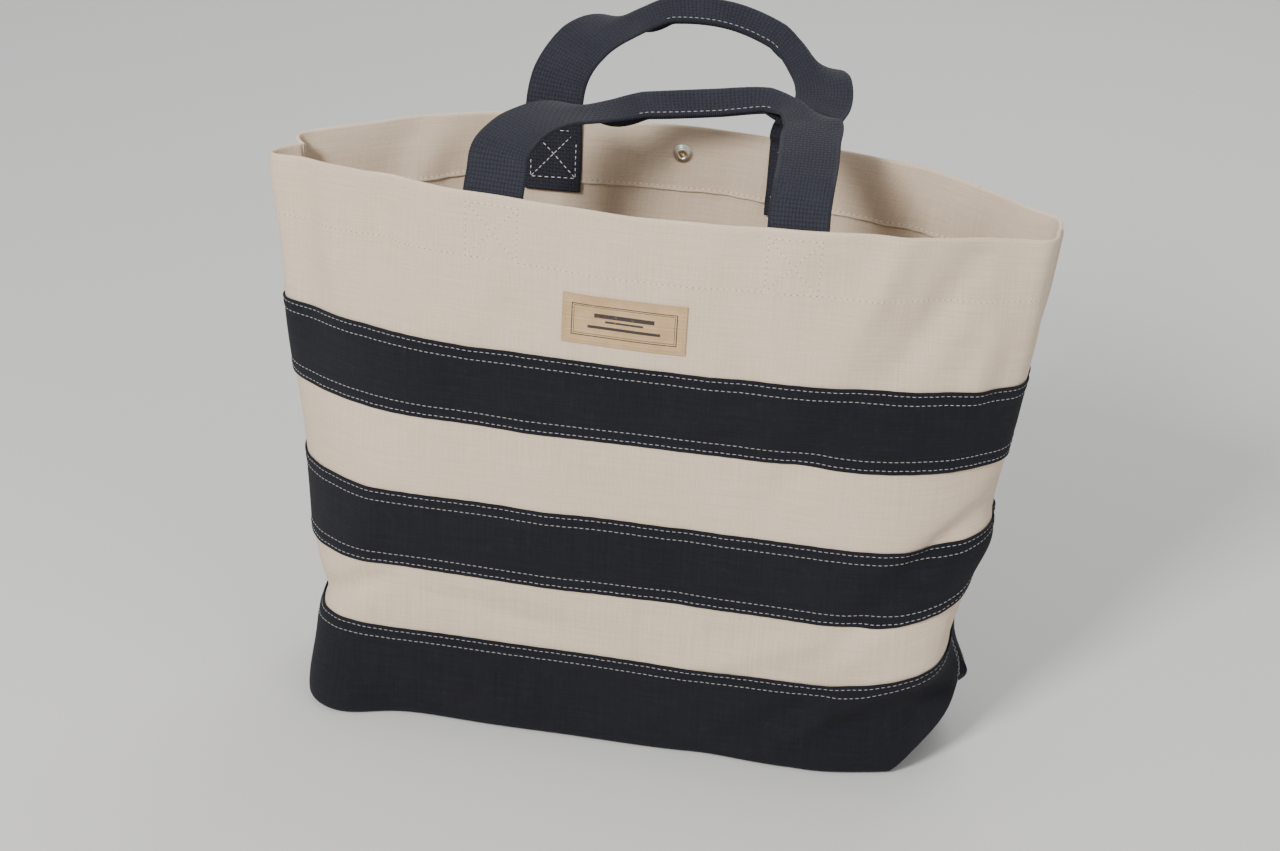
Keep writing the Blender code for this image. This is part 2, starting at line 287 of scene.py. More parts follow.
def patch_cloth():
    """Glazed tan label cloth with a printed frame and plain bars."""
    finish = Finish("patch_cloth", {"Sheen Weight": 0.05, "Specular IOR Level": 0.35})
    place = finish.place()
    across, along = finish.axes(place)
    threads = weave(finish, place, 0.00045)
    cloud = finish.noise(place, 60.0, 4.0, 0.6)
    wear = finish.noise(place, 420.0, 3.0, 0.6)
    half_width, half_height = PATCH_HALVES
    colour = finish.mix(cloud.step(0.3, 0.75), (0.50, 0.335, 0.180, 1), (0.42, 0.265, 0.130, 1))
    inset = (abs(across) - (half_width - 0.0062)).most(abs(along) - (half_height - 0.0062))
    line = 1 - abs(inset).step(0.00022, 0.00042)
    inner = 1 - abs(inset + 0.0013).step(0.00010, 0.00026)
    upper = (1 - abs(along - 0.0040).step(0.0013, 0.0016)) * (1 - abs(across).step(0.019, 0.0193))
    middle = (1 - abs(along - 0.0002).step(0.0006, 0.0008)) * (1 - abs(across).step(0.012, 0.0122))
    lower = (1 - abs(along + 0.0042).step(0.0009, 0.0012)) * (1 - abs(across).step(0.023, 0.0233))
    print_ink = line.most(inner).most(upper).most(middle).most(lower)
    colour = finish.mix(print_ink * (1 - wear.step(0.58, 0.75) * 0.6), colour,
                        (0.035, 0.026, 0.022, 1))
    edge = inset.step(0.0046, 0.0062)
    colour = finish.mix(edge * 0.45, colour, (0.34, 0.21, 0.10, 1))
    finish.set("Base Color", colour)
    finish.set("Roughness", 0.5 + wear * 0.25)
    waves = finish.noise(place, 110.0, 3.0)
    finish.set("Normal", finish.bump(threads, 0.00010, 0.7, finish.bump(waves, 0.0008, 0.6)))
    return finish.material


def thread(name, colour, dark):
    """Twisted sewing thread, with painted shade in the grooves of its twist."""
    finish = Finish(name, {"Roughness": 0.7, "Sheen Weight": 0.2, "Sheen Roughness": 0.4})
    place = finish.node("ShaderNodeTexCoord", out=3)
    twist = finish.node("ShaderNodeTexWave", {"wave_type": "BANDS", "bands_direction": "DIAGONAL"},
                        {"Vector": place, "Scale": 900.0, "Distortion": 1.0})
    # Painted shade: the twist's grooves are coloured with the dark colour.
    finish.set("Base Color", finish.mix(twist, dark, colour))
    finish.set("Normal", finish.bump(twist, 0.0001, 0.6))
    return finish.material


def nickel(name, plain, dark):
    """Plated metal with fine scratches and a little tarnish in the hollows."""
    finish = Finish(name, {"Metallic": 1.0})
    place = finish.node("ShaderNodeTexCoord", out=3)
    cloud = finish.noise(place, 500.0, 4.0, 0.6)
    scratch = finish.noise(finish.stretched(place, 3000, 500), 1.0, 3.0)
    finish.set("Base Color", finish.mix(cloud.step(0.45, 0.75) * 0.6, plain, dark))
    finish.set("Roughness", 0.16 + scratch * 0.2 + cloud * 0.08)
    finish.set("Normal", finish.bump(scratch, 0.00003, 0.5))
    return finish.material


# ---------------------------------------------------------------- the shape of the cloth

def outline_size(z):
    """Half length, half depth and roundness of the bag's outline at a height."""
    share = np.clip(z / HEIGHT, 0, None)
    half_length = BASE_HALF + (MOUTH_HALF - BASE_HALF) * share ** 0.8
    half_depth = DEPTHS[0] + (DEPTHS[1] - DEPTHS[0]) * share + BELLY * np.sin(pi * share)
    roundness = ROUNDNESS[1] + (ROUNDNESS[0] - ROUNDNESS[1]) * np.clip(1 - share, 0, 1) ** 2.5
    return half_length, half_depth, roundness


TABLE_LEVELS = np.linspace(0, 0.42, 106)
TABLE_SHARES = np.linspace(0, 1, 241)


def outline_table():
    """A quarter of the outline at each level, measured along the cloth from the face's middle."""
    rows = []
    angle = pi / 2 * (1 - np.cos(np.linspace(0, pi, 500))) / 2
    for z in TABLE_LEVELS:
        half_length, half_depth, roundness = outline_size(z)
        power = 2 / roundness
        x = np.concatenate(([0], FLAT_HALF + (half_length - FLAT_HALF) * np.sin(angle) ** power))
        y = np.concatenate(([half_depth], half_depth * np.cos(angle).clip(0) ** power))
        run = np.concatenate(([0], np.cumsum(np.hypot(np.diff(x), np.diff(y)))))
        x, y = (np.interp(TABLE_SHARES * run[-1], run, line) for line in (x, y))
        dx, dy = np.gradient(x), np.gradient(y)
        dx[-1] = 0
        size = np.hypot(dx, dy)
        rows.append((x, y, -dy / size, dx / size, np.full_like(x, run[-1])))
    return np.array(rows)


TABLE = outline_table()


def outline(share, z):
    """X, depth, outward normal and quarter length of the outline at a share and a height."""
    level = np.clip(z / TABLE_LEVELS[-1], 0, 0.9999) * (len(TABLE_LEVELS) - 1)
    place = np.clip(share, 0, 0.99999) * (len(TABLE_SHARES) - 1)
    i, j = level.astype(int), place.astype(int)
    u, v = level - i, place - j
    found = [(TABLE[i, k, j] * (1 - v) + TABLE[i, k, j + 1] * v) * (1 - u)
             + (TABLE[i + 1, k, j] * (1 - v) + TABLE[i + 1, k, j + 1] * v) * u for k in range(5)]
    return found


def mound(value, middle, width):
    return np.exp(-((value - middle) / width) ** 2)


def ramp(value, low, high):
    share = np.clip((value - low) / (high - low), 0, 1)
    return share * share * (3 - 2 * share)


# Long soft folds on each face: middle x and z, direction in degrees, half length, half
# width, height
FRONT_FOLDS = [
    (0.185, 0.335, 62, 0.055, 0.012, -0.0030), (0.150, 0.352, 70, 0.040, 0.010, 0.0018),
    (0.215, 0.300, 78, 0.050, 0.010, 0.0022), (-0.205, 0.330, 100, 0.050, 0.013, 0.0020),
    (-0.170, 0.350, 84, 0.045, 0.012, -0.0022), (-0.105, 0.300, 96, 0.050, 0.014, 0.0010),
    (0.070, 0.310, 88, 0.060, 0.016, -0.0012), (0.120, 0.245, 60, 0.080, 0.014, -0.0014),
    (-0.060, 0.200, 104, 0.080, 0.020, 0.0012), (0.040, 0.150, 75, 0.070, 0.018, -0.0011),
    (-0.175, 0.150, 82, 0.060, 0.016, 0.0014), (-0.190, 0.090, 30, 0.045, 0.009, -0.0024),
    (0.165, 0.130, 52, 0.050, 0.012, -0.0022), (0.205, 0.175, 40, 0.035, 0.010, -0.0030),
    (0.090, 0.085, 20, 0.060, 0.010, 0.0010), (-0.080, 0.092, 172, 0.070, 0.009, -0.0010),
    (0.110, 0.040, 35, 0.060, 0.012, -0.0024), (-0.120, 0.035, 165, 0.080, 0.011, 0.0012),
]
BACK_FOLDS = [
    (-0.180, 0.330, 70, 0.055, 0.013, -0.0030), (-0.130, 0.345, 84, 0.050, 0.012, 0.0022),
    (0.140, 0.340, 100, 0.055, 0.014, -0.0026), (0.195, 0.325, 78, 0.045, 0.012, 0.0022),
    (0.020, 0.345, 90, 0.050, 0.022, 0.0016), (-0.060, 0.240, 98, 0.090, 0.020, -0.0016),
    (0.080, 0.230, 82, 0.080, 0.018, 0.0014), (-0.150, 0.160, 65, 0.060, 0.014, -0.0018),
    (0.150, 0.130, 120, 0.060, 0.012, -0.0022), (-0.030, 0.120, 90, 0.060, 0.020, 0.0012),
    (-0.170, 0.060, 150, 0.050, 0.010, -0.0018), (0.110, 0.045, 40, 0.050, 0.010, 0.0014),
]


FOLD_STRENGTH = 2.0
PUCKERED_ROWS = [(BOOT_TOP - 0.004, 0.4), (HEIGHT - HEM_ROW, 2.1)] + [
    (row, 7 * row) for top, height in zip(BAND_TOPS, BAND_HEIGHTS)
    for row in (top - 0.004, top - height + 0.004)]


def folds(listed, x, z):
    height = np.zeros_like(x)
    for middle_x, middle_z, direction, half_length, half_width, rise in listed:
        dx, dz = x - middle_x, z - middle_z
        along = dx * cos(radians(direction)) + dz * sin(radians(direction))
        across = -dx * sin(radians(direction)) + dz * cos(radians(direction))
        height += rise * mound(along, 0, half_length) * mound(across, 0, half_width)
    return height


def skin(turn, rise):
    """Outside of the bag. Turn 0 is the middle of the front, 1 the right side seam, 2 the
    middle of the back and 3 the left side seam. A rise over 0 is a height on the wall, and
    one under 0 runs across the floor to its centre line."""
    turn, rise = np.broadcast_arrays(np.asarray(turn, float) % 4, np.asarray(rise, float))
    half = turn % 2
    share = np.where(half < 1, half, 2 - half)
    side = np.where(turn < 2, 1.0, -1.0)
    face = np.where((turn < 1) | (turn >= 3), -1.0, 1.0)
    front, right = face < 0, side > 0
    z = np.clip(rise, 0, None)
    x, y, nx, ny, quarter = outline(share, z)
    reach = outline_size(z)[0] - FLAT_HALF
    over = np.clip((x - FLAT_HALF) / reach, 0, 1) ** outline_size(z)[2]
    seam = face * (1 - share) * quarter          # along the cloth from the side seam
    level = z / HEIGHT
    top = ramp(z, 0.19, HEIGHT)
    low = 1 - ramp(z, 0.0, 0.075)

    out = np.where(front, folds(FRONT_FOLDS, side * x, z), folds(BACK_FOLDS, side * x, z))
    out *= FOLD_STRENGTH
    out += 0.0009 * np.sin(47 * side * x + 19 * z + face) * np.sin(31 * z - 13 * side * x)
    for row, phase in PUCKERED_ROWS:
        ripple = np.sin(side * x * 430 + phase + 2.2 * np.sin(side * x * 57 + phase))
        out += 0.00022 * ripple * mound(z, row, 0.0055)
    out += 0.0005 * np.sin(110 * side * x - 60 * z) * top
    lift = -CORNER_DIP * over * level ** 2

    # The mouth: the front rim sags and bows out between the handles, the back one stands up
    bow = mound(x, 0, 0.085)
    out += np.where(front, 0.0050 * bow, 0.0040 * mound(x, 0, 0.12)) * top
    lift += np.where(front, -0.0045 * bow, 0.0060 * mound(x, 0, 0.12)) * top
    out += 0.0012 * np.sin(side * x * 38 + 1.1 * face) * top * (1 - over)

    # Side seams drawn in a little; the left one folds inwards at the mouth
    out -= 0.0022 * mound(seam, 0, 0.0065) * ramp(z, 0.0, 0.02)
    horn = np.where(right, 0.0085, 0.0125)
    out += horn * mound(seam, -0.022, 0.014) * top
    out += np.where(right, 0.0075, 0.0030) * mound(seam, 0.020, 0.013) * top
    out -= np.where(right, 0.0, 0.0170) * mound(seam, 0, 0.011) * ramp(z, 0.235, HEIGHT)
    out += np.where(right, 0.0010, 0.0035) * mound(seam, -0.014, 0.030) * mound(z, 0.25, 0.09)

    # Right bottom corner: the cloth is pushed up along the side seam and creased
    climb = np.interp(z, (0, 0.069, 0.117, 0.173, 0.229), (0.052, 0.033, 0.028, 0.010, 0.0))
    start = np.interp(z, (0, 0.069, 0.173), (0.74, 0.52, 0.70))
    climb = climb * np.clip((share - start) / (1 - start), 0, 1) ** 1.25
    lift += np.where(right, climb, 0)
    out += np.where(right, 0.0210 * mound(seam, 0, 0.040) * (1 - ramp(z, 0.0, 0.055)), 0)
    out -= np.where(right, 0.0055 * mound(seam, 0, 0.045) * mound(z, 0.080, 0.022), 0)
    out += np.where(right, 0.0045 * mound(seam, -0.010, 0.030) * mound(z, 0.150, 0.020), 0)
    crease = 0.006 + 0.040 * np.sin(np.clip((share - 0.42) / 0.56, 0, 1) * pi)
    out -= np.where(right & front, 0.0100 * mound(z, crease, 0.013)
                    * ramp(share, 0.42, 0.62) * (1 - 0.6 * ramp(share, 0.85, 1)), 0)
    out -= np.where(right & front, 0.0090 * ramp(share, 0.50, 0.76)
                    * (1 - ramp(share, 0.80, 0.97)) * low, 0)

    # Left bottom corner: square, spread on the floor
    out += np.where(right, 0, 0.0170 * mound(seam, -0.062, 0.030) * low)
    out += np.where(right, 0, 0.0120 * mound(seam, 0.062, 0.030) * low)
    out -= np.where(right, 0, 0.0040 * mound(seam, -0.030, 0.030) * mound(z, 0.085, 0.020))

    edge = np.clip(z, 0, BOTTOM_RADIUS)
    out -= BOTTOM_RADIUS - np.sqrt(BOTTOM_RADIUS ** 2 - (BOTTOM_RADIUS - edge) ** 2)
    points = np.stack((side * (x + nx * out), face * (y + ny * out), z + lift), -1)

    inward = np.clip(1 + rise / FLOOR_SPAN, 0, 1)
    spine = DEPTHS[0] / BASE_HALF
    on_floor = points * np.stack((1 - spine * (1 - inward), inward, inward ** 2.2), -1)
    return np.where((rise < 0)[..., None], on_floor, points)


def outward(turn, rise):
    """Unit normal of the outside."""
    step = 0.0006
    across = skin(turn + step, rise) - skin(turn - step, rise)
    along = skin(turn, rise + step) - skin(turn, rise - step)
    normal = np.cross(across, along)
    normal /= np.linalg.norm(normal, axis=-1, keepdims=True).clip(1e-12)
    under = ramp(-np.asarray(rise, float), 0, 0.008)[..., None]
    normal = normal * (1 - under) + np.array((0, 0, -1.0)) * under
    return normal / np.linalg.norm(normal, axis=-1, keepdims=True).clip(1e-12)


def laid(turn, rise, depth):
    """Points a depth below the outside."""
    turn, rise, depth = np.broadcast_arrays(turn, rise, depth)
    return skin(turn, rise) - outward(turn, rise) * depth[..., None]


def cloth_length(turn, rise):
    """Metres round the cloth from the middle of the front."""
    turn = np.asarray(turn, float)
    quarter = outline(np.zeros_like(turn), np.clip(rise, 0, None))[4]
    return turn * quarter


def turn_at(x, z, face):
    """Turn of a place x metres along a face."""
    share = np.asarray(x) / outline(np.array(0.0), np.asarray(z))[4]
    return share if face == "front" else 2 - share


# ---------------------------------------------------------------- making pieces

def finish_piece(name, bm, material, body, *nodes, slot=None):
    """Mesh, material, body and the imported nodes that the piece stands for."""
    mesh = bpy.data.meshes.new(name)
    bm.to_mesh(mesh)
    bm.free()
    for polygon in mesh.polygons:
        polygon.use_smooth = True
    piece = bpy.data.objects.new(name, mesh)
    piece.data.materials.append(material)
    bpy.context.scene.collection.objects.link(piece)
    if body:
        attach(piece, body)
    if nodes:
        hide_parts(*nodes)
    return piece


def woven(columns, rows, lay, measure, weld=False):
    """A grid of cloth. lay gives the points and measure the cloth's own metres, each from
    arrays of column and row numbers."""
    bm = bmesh.new()
    bmesh.ops.create_grid(bm, x_segments=columns - 1, y_segments=rows - 1, size=0.5)
    bm.verts.ensure_lookup_table()
    flat = np.array([vert.co[:2] for vert in bm.verts]) + 0.5
    column = np.rint(flat[:, 0] * (columns - 1)).astype(int)
    row = np.rint(flat[:, 1] * (rows - 1)).astype(int)
    across, along = measure(column, row)
    for vert, point in zip(bm.verts, lay(column, row)):
        vert.co = point
    layer = bm.loops.layers.uv.new("cloth")
    for face in bm.faces:
        for loop in face.loops:
            loop[layer].uv = across[loop.vert.index], along[loop.vert.index]
    if weld:
        bmesh.ops.remove_doubles(bm, verts=bm.verts, dist=1e-5)
    return bm


def thicken(piece, thickness):
    made = piece.modifiers.new("thickness", "SOLIDIFY")
    made.thickness = thickness
    made.offset = 0
    return piece


def strip(name, material, nodes, start, stop, rises, depths, thickness, spacing=0.0027,
          weld=False, origin=(0, 0)):
    """A layer of cloth between two turns, with a depth for each height."""
    columns = int((stop - start) * 0.28 / spacing) + 1
    turns = np.linspace(start, stop, columns)
    rises, depths = np.asarray(rises), np.asarray(depths)
    inner = np.where(rises < 0, np.clip(1 + rises / FLOOR_SPAN, 0.25, 1), 1)

    def lay(column, row):
        return laid(turns[column], rises[row], depths[row])

    def measure(column, row):
        return (cloth_length(turns[column], rises[row]) * inner[row] - origin[0],
                rises[row] - origin[1])

    bm = woven(columns, len(rises), lay, measure, weld)
    return thicken(finish_piece(name, bm, material, "root", *nodes), thickness)


def cut(piece, start, stop, rise, length, held, *rests_on):
    """Work out a sheet's cut width: as wide as the cloth is along itself at this height."""
    width = float(cloth_length(stop, rise) - cloth_length(start, rise))


def sew(name, material, runs, body="root", length=STITCH, pitch=STITCH_PITCH, width=THREAD,
        offset=0.5):
    """Rows of single stitches. Each run is its points and the cloth's normals along it."""
    shape = bmesh.new()
    bmesh.ops.create_uvsphere(shape, u_segments=6, v_segments=5, radius=0.5)
    stitch = bpy.data.meshes.new("stitch")
    shape.to_mesh(stitch)
    shape.free()
    plain = np.array([vert.co for vert in stitch.vertices]) * (length, width, width * 0.8)
    bm = bmesh.new()
    for points, normals in runs:
        spans = np.linalg.norm(np.diff(points, axis=0), axis=1)
        travel = np.concatenate(([0], np.cumsum(spans)))
        count = max(1, int(travel[-1] / pitch))
        for index in range(count):
            middle = (index + offset) * travel[-1] / count
            stops = [middle - length / 2, middle, middle + length / 2]
            one, centre, other = (Vector([np.interp(stop, travel, points[:, axis])
                                          for axis in range(3)]) for stop in stops)
            up = Vector([np.interp(middle, travel, normals[:, axis]) for axis in range(3)])
            along = (other - one).normalized() if other != one else Vector((1, 0, 0))
            across = up.cross(along).normalized()
            turn = np.array((along, across, along.cross(across)))
            stitch.vertices.foreach_set("co", (plain @ turn + np.array(centre)).ravel())
            bm.from_mesh(stitch)
    bpy.data.meshes.remove(stitch)
    return finish_piece(name, bm, material, body, slot="natural_canvas")


def paint_hole_shade(name, material, runs):
    """Painted shade in the needle's holes between the stitches of the same rows: small dark
    dimples.
    """
    sew(name, material, runs, length=0.0008, width=0.0005, offset=0.0)


def run_on(turns, rises, depth):
    """A line over the cloth for sewing, a depth below the outside (less than 0 stands proud)."""
    turns, rises = np.broadcast_arrays(np.asarray(turns, float), np.asarray(rises, float))
    facing = 1 if depth < PANEL_DEPTH else -1
    return laid(turns, rises, np.full(turns.shape, depth)), outward(turns, rises) * facing


# ---------------------------------------------------------------- the bag

FACES = {"front": (-1, 1), "back": (1, 3)}
SEAM_EDGE = 0.0006               # turn left free beside each side seam
OUTER = PANEL_DEPTH - PLY / 2    # depth of the panel's outer side
INNER = PANEL_DEPTH + PLY / 2
ROWS_IN = (0.0025, 0.0085)       # a band's edge to its two rows of stitching
PATCH_LOW, PATCH_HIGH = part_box("cloth_patch")
PATCH_HALVES = ((PATCH_HIGH.x - PATCH_LOW.x) / 2, (PATCH_HIGH.z - PATCH_LOW.z) / 2)
PATCH_MIDDLE = ((PATCH_HIGH.x + PATCH_LOW.x) / 2, (PATCH_HIGH.z + PATCH_LOW.z) / 2)


def rounded_rises():
    """Heights round the soft bottom edge, close together where it turns."""
    return [BOTTOM_RADIUS * (1 - cos(pi / 2 * step / 7)) for step in range(1, 8)]


def floor_rises():
    return [-FLOOR_SPAN * (1 - step / 14) ** 0.8 for step in range(14)] + [-0.0016, 0.0]


def rises_between(low, high, spacing=0.0026):
    return list(np.linspace(low, high, max(2, round((high - low) / spacing) + 1)))


def make_boot(material):
    wall = rises_between(BOTTOM_RADIUS, BOOT_TOP - 0.010, 0.0024)[1:]
    edge = [BOOT_TOP - drop for drop in (0.0085, 0.007, 0.0055, 0.004, 0.0025, 0.0012, 0.0004, 0)]
    rises = floor_rises() + rounded_rises() + wall + edge
    depths = [BAND_DEPTH + 0.0004 if rise <= 0 else BAND_DEPTH for rise in rises[:-8]]
    depths += [0.0004, 0.0, -0.0002, -0.0001, 0.0003, -0.0003, -0.0002, 0.0003]
    piece = strip("boot_cloth", material, ["boot"], -1, 3, rises, depths, BAND_PLY, 0.0024,
                  weld=True)
    cut(piece, -1, 1, BOOT_TOP, 2 * (BOOT_TOP + FLOOR_SPAN), "folded", "front_panel_cloth")


def make_bands(material):
    for face, (start, stop) in FACES.items():
        for level, top, height in zip(("lower", "upper"), BAND_TOPS, BAND_HEIGHTS):
            drops = [0, 0.0004, 0.0012, 0.0025, 0.004, 0.0055, 0.007, 0.0085]
            edge = [0.0003, -0.0002, -0.0003, 0.0003, -0.0001, -0.0002, 0.0, 0.0004]
            middle = rises_between(top - height + 0.0105, top - 0.0105, 0.0023)
            rises = [top - height + drop for drop in drops] + middle + \
                    [top - drop for drop in drops[::-1]]
            depths = edge + [BAND_DEPTH] * len(middle) + edge[::-1]
            piece = strip(f"{face}_{level}_band_cloth", material, [f"{face}_{level}_band"],
                          start + SEAM_EDGE, stop - SEAM_EDGE, rises, depths, BAND_PLY, 0.0024)
            cut(piece, start, stop, top, height, "laid", f"{face}_panel_cloth")


def make_panels(material):
    """Each face in one length: half the floor, the wall, over the rim and down as the hem."""
    fold = (HEM_DEPTH - PANEL_DEPTH) / 2
    for face, (start, stop) in FACES.items():
        rises = floor_rises() + rounded_rises() + rises_between(BOTTOM_RADIUS, HEIGHT - 0.006)[1:]
        depths = [PANEL_DEPTH + (0.0004 if rise <= 0 else 0) for rise in rises]
        rises += [HEIGHT - 0.0035, HEIGHT - 0.0018]
        depths += [PANEL_DEPTH - 0.0002, PANEL_DEPTH - 0.0001]
        for step in range(7):
            angle = pi * step / 6
            rises.append(HEIGHT - fold + fold * sin(angle))
            depths.append(PANEL_DEPTH + fold - fold * cos(angle))
        for drop in [0.002, 0.004, *np.linspace(0.0065, HEM_ROW - 0.003, 15), HEM_ROW - 0.0012,
                     HEM_ROW, HEM_ROW + 0.0012, HEM_HEIGHT - 0.0005, HEM_HEIGHT]:
            rises.append(HEIGHT - drop)
            slack = 0.0006 * sin(pi * min(drop / HEM_ROW, 1)) + (0.0004 if drop > HEM_ROW else 0)
            depths.append(HEM_DEPTH + slack)
        piece = strip(f"{face}_panel_cloth", material, [f"{face}_panel", f"{face}_hem"],
                      start, stop, rises, depths, PLY)
        cut(piece, start, stop, HEIGHT, HEM_HEIGHT + HEIGHT + FLOOR_SPAN, "folded", "boot_cloth")


def make_seam_tapes(material):
    """Bound side seams inside, from the floor up under the hem."""
    for side, turn in (("right", 1), ("left", 3)):
        rises = rises_between(0.012, HEIGHT - HEM_HEIGHT + 0.004, 0.004)
        piece = strip(f"{side}_seam_tape", material, [], turn - 0.022, turn + 0.022, rises,
                      [INNER + 0.0012] * len(rises), 0.0012, 0.0016)
        cut(piece, turn - 0.022, turn + 0.022, rises[-1], rises[-1] - rises[0], "laid",
            "front_panel_cloth", "back_panel_cloth")


def make_patch(material):
    x, z = PATCH_MIDDLE
    turn = float(turn_at(x, z, "front"))
    quarter = float(outline(np.array(0.0), np.array(z))[4])
    half = PATCH_HALVES[0] / quarter
    rises = rises_between(PATCH_LOW.z, PATCH_HIGH.z, 0.0012)
    depths = [OUTER - 0.0005 - 0.0002 * cos(9 * step) for step in range(len(rises))]
    piece = strip("patch", material, ["cloth_patch"], turn - half, turn + half, rises, depths,
                  0.0007, 0.0013, origin=(turn * quarter, z))
    cut(piece, turn - half, turn + half, z, PATCH_HIGH.z - PATCH_LOW.z, "laid",
        "front_panel_cloth")
    edge = piece.modifiers.new("edge", "BEVEL")
    edge.width = 0.0002
    edge.segments = 2


def across_face(face, rise):
    start, stop = FACES[face]
    turns = np.linspace(start + 0.012, stop - 0.012, 260)
    return turns, np.full(turns.shape, rise)


def box_runs(x, face, depth, top, bottom, half):
    """Sewing of one handle end: a box with both its diagonals."""
    corners = [(x - half, top), (x + half, top), (x + half, bottom), (x - half, bottom)]
    lines = list(zip(corners, corners[1:] + corners[:1])) + \
        [(corners[0], corners[2]), (corners[1], corners[3])]
    runs = []
    for (x0, z0), (x1, z1) in lines:
        xs, zs = np.linspace(x0, x1, 24), np.linspace(z0, z1, 24)
        runs.append(run_on(turn_at(xs, HEIGHT - 0.02, face), zs, depth))
    return runs


def make_stitching(light, natural, tan, hole_shade):
    rows = [BOOT_TOP - inset for inset in ROWS_IN]
    for top, height in zip(BAND_TOPS, BAND_HEIGHTS):
        rows += [top - inset for inset in ROWS_IN]
        rows += [top - height + inset for inset in ROWS_IN]
    proud = -0.0003
    for face in FACES:
        sew(f"{face}_band_stitches", light,
            [run_on(*across_face(face, rise), proud) for rise in rows], width=0.00045)
        sew(f"{face}_inner_stitches", natural,
            [run_on(*across_face(face, rise), INNER + 0.0001) for rise in rows], width=0.00045)
        hem = HEIGHT - HEM_ROW
        runs = [run_on(*across_face(face, hem), OUTER - 0.0001),
                run_on(*across_face(face, hem), HEM_DEPTH + PLY / 2 + 0.0002)]
        sew(f"{face}_hem_stitches", natural, runs)
        # Painted shade in the needle holes of the hem's stitching.
        paint_hole_shade(f"{face}_hem_hole_shades", hole_shade, runs)
    for side, turn in (("right", 1), ("left", 3)):
        rises = np.linspace(0.005, BOOT_TOP - 0.001, 60)
        runs = [run_on(np.full(60, turn + shift), rises, proud) for shift in (-0.024, -0.010)]
        sew(f"{side}_boot_seam_stitches", light, runs)
    x, z = PATCH_MIDDLE
    half, tall = PATCH_HALVES[0] - 0.0021, PATCH_HALVES[1] - 0.0021
    corners = [(x - half, z + tall), (x + half, z + tall),
               (x + half, z - tall), (x - half, z - tall)]
    runs = []
    for (x0, z0), (x1, z1) in zip(corners, corners[1:] + corners[:1]):
        xs, zs = np.linspace(x0, x1, 30), np.linspace(z0, z1, 30)
        runs.append(run_on(turn_at(xs, z, "front"), zs, OUTER - 0.0010))
    sew("patch_stitches", tan, runs, length=0.0021, pitch=0.0027, width=0.0004)


# ---------------------------------------------------------------- handles

END_DROP = 0.050                 # sewn length below the rim
WEB_HALF = WEB_WIDTH / 2
WEB_SIDE = WEB_PLY / 2
FOLD_ARC = 0.0040                # width of webbing that turns in the grip's fold

# Each stop: place from the middle of the folds, direction across the webbing, share folded
ROUTES = {
    "front": [
        (-0.0945, 0, 0, 1, 0, 0, 0),
        (-0.094, 0.006, 0.012, 1, -0.03, 0, 0),
        (-0.087, 0.022, 0.022, 0.95, -0.25, -0.05, 0),
        (-0.073, 0.041, 0.027, 0.80, -0.55, -0.10, 0),
        (-0.050, 0.064, 0.027, 0.50, -0.80, -0.25, 0.2),
        (-0.018, 0.087, 0.024, 0.15, -0.75, -0.60, 1),
        (0.024, 0.101, 0.026, 0, -0.70, -0.70, 1),
        (0.058, 0.105, 0.030, -0.15, -0.75, -0.55, 1),
        (0.078, 0.097, 0.032, -0.70, -0.65, -0.25, 0.4),
        (0.090, 0.078, 0.029, -0.97, -0.20, -0.05, 0),
        (0.092, 0.054, 0.025, -1, 0, 0, 0),
        (0.094, 0.029, 0.018, -1, 0, 0, 0),
        (0.0945, 0.009, 0.009, -1, 0, 0, 0),
        (0.0945, 0, 0, -1, 0, 0, 0)],
    "back": [
        (-0.086, 0, 0, 1, 0, 0, 0),
        (-0.084, 0.007, 0.022, 1, -0.03, 0.05, 0),
        (-0.073, 0.024, 0.041, 0.93, -0.25, -0.20, 0),
        (-0.051, 0.045, 0.052, 0.70, -0.55, -0.35, 0.2),
        (-0.022, 0.064, 0.056, 0.20, -0.70, -0.65, 1),
        (0.020, 0.075, 0.053, -0.05, -0.65, -0.75, 1),
        (0.050, 0.071, 0.044, -0.25, -0.65, -0.70, 1),
        (0.072, 0.059, 0.034, -0.65, -0.60, -0.45, 0.4),
        (0.086, 0.042, 0.024, -0.93, -0.30, -0.20, 0),
        (0.088, 0.026, 0.016, -1, -0.05, -0.05, 0),
        (0.083, 0.010, 0.010, -1, 0, 0, 0),
        (0.077, 0, 0, -1, 0, 0, 0)],
}
ENDS = {face: (route[0][0], route[-1][0]) for face, route in ROUTES.items()}
FOLDS = {joint["child"].split("_")[0]: Vector(joint["pos_m"]) for joint in frame["joints"]}


def smooth_through(stops, spacing):
    """Evenly spaced rows on a smooth line through the stops, with the distance to each."""
    stops = np.array(stops, float)
    run = np.concatenate(([0], np.cumsum(np.linalg.norm(np.diff(stops[:, :3], axis=0), axis=1))))
    slope = np.gradient(stops, run, axis=0)
    away = np.linspace(0, run[-1], int(run[-1] / spacing) + 1)
    index = np.clip(np.searchsorted(run, away, side="right") - 1, 0, len(run) - 2)
    span = (run[index + 1] - run[index])[:, None]
    t = (away - run[index])[:, None] / span
    rows = ((2 * t ** 3 - 3 * t ** 2 + 1) * stops[index]
            + (t ** 3 - 2 * t ** 2 + t) * span * slope[index]
            + (3 * t ** 2 - 2 * t ** 3) * stops[index + 1]
            + (t ** 3 - t ** 2) * span * slope[index + 1])
    return rows, away


def sewn_stops(face, x, upward):
    """The end of the webbing inside the hem, from its cut edge to the rim."""
    rises = np.linspace(HEIGHT - END_DROP, HEIGHT - 0.001, 8)
    turns = turn_at(np.full(8, x), HEIGHT - 0.02, face)
    places = laid(turns, rises, np.full(8, WEB_DEPTH))
    sides = skin(turns + 0.01, rises) - skin(turns - 0.01, rises)
    sides *= np.where(sides[:, :1] > 0, 1, -1) * (1 if upward else -1)
    sides /= np.linalg.norm(sides, axis=1, keepdims=True)
    stops = [(*place, *side, 0) for place, side in zip(places, sides)]
    return stops if upward else stops[::-1]


